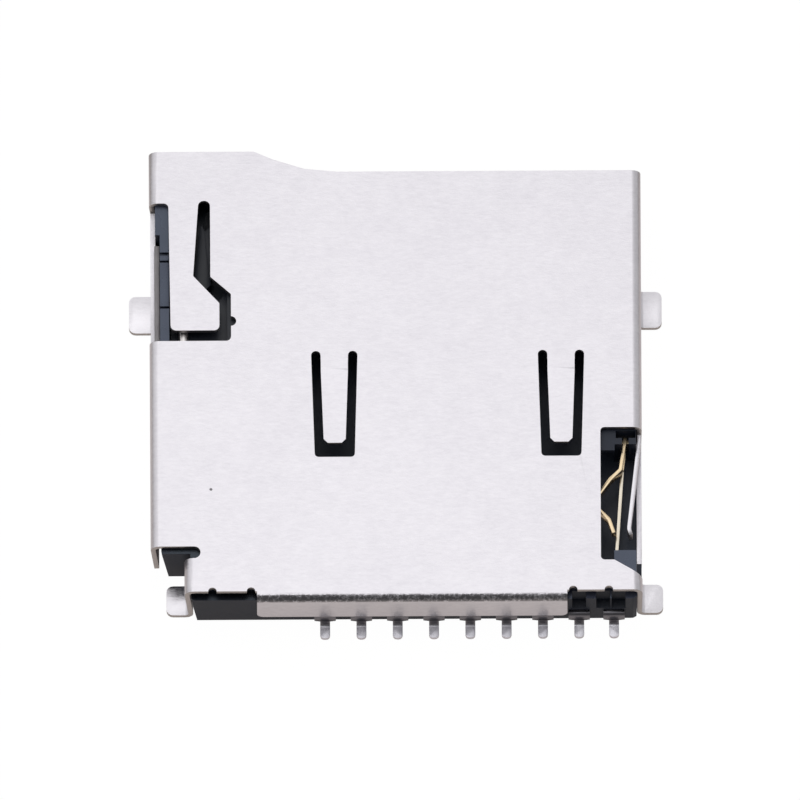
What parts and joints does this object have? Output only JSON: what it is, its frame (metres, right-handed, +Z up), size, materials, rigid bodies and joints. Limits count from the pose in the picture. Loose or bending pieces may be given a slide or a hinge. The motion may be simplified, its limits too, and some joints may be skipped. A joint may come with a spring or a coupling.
{
  "type": "micro memory card socket",
  "caption": "Surface-mount push-push socket for a micro memory card: pressed steel cover over a black moulding, sprung slider with cam rod, card switch and a row of soldered terminals.",
  "frame": {"origin": "centre of the whole outline, tabs and terminals included, on the board plane that the solder tabs rest on", "axes": "+Z up off the board, -Y out of the card slot, +Y toward the terminals, +X toward the push-push mechanism"},
  "size_m": [0.0162, 0.0154, 0.0019],
  "materials": {
    "shell_steel": "satin nickel plate",
    "housing_plastic": "matte moulded",
    "slider_plastic": "matte moulded",
    "contact_bronze": "tin and gold plate",
    "switch_gold": "gold plate",
    "rod_steel": "bright drawn wire",
    "spring_steel": "drawn wire"
  },
  "bodies": {
    "base": {"shell": "shell_steel", "housing": "housing_plastic", "contact_1": "contact_bronze", "contact_2": "contact_bronze", "contact_3": "contact_bronze", "contact_4": "contact_bronze", "contact_5": "contact_bronze", "contact_6": "contact_bronze", "contact_7": "contact_bronze", "contact_8": "contact_bronze", "detect_contact": "switch_gold", "eject_spring": "spring_steel"},
    "carriage": {"slider": "slider_plastic"},
    "follower": {"cam_rod": "rod_steel"}
  },
  "joints": [
    {"name": "slider_slide", "type": "slide", "parent": "base", "child": "carriage", "axis": [0, 1, 0], "range_m": [0, 0.004], "stiffness_N_per_m": 100, "deforming": ["eject_spring"]},
    {"name": "rod_swing", "type": "hinge", "parent": "base", "child": "follower", "pos_m": [0.00642, 0.0046, 0.00151], "axis": [0, 0, 1], "range_deg": [-3.4, 0]}
  ],
  "couplings": [
    {"joint": "rod_swing", "follows": "slider_slide", "rad_per_m": -14.607}
  ]
}
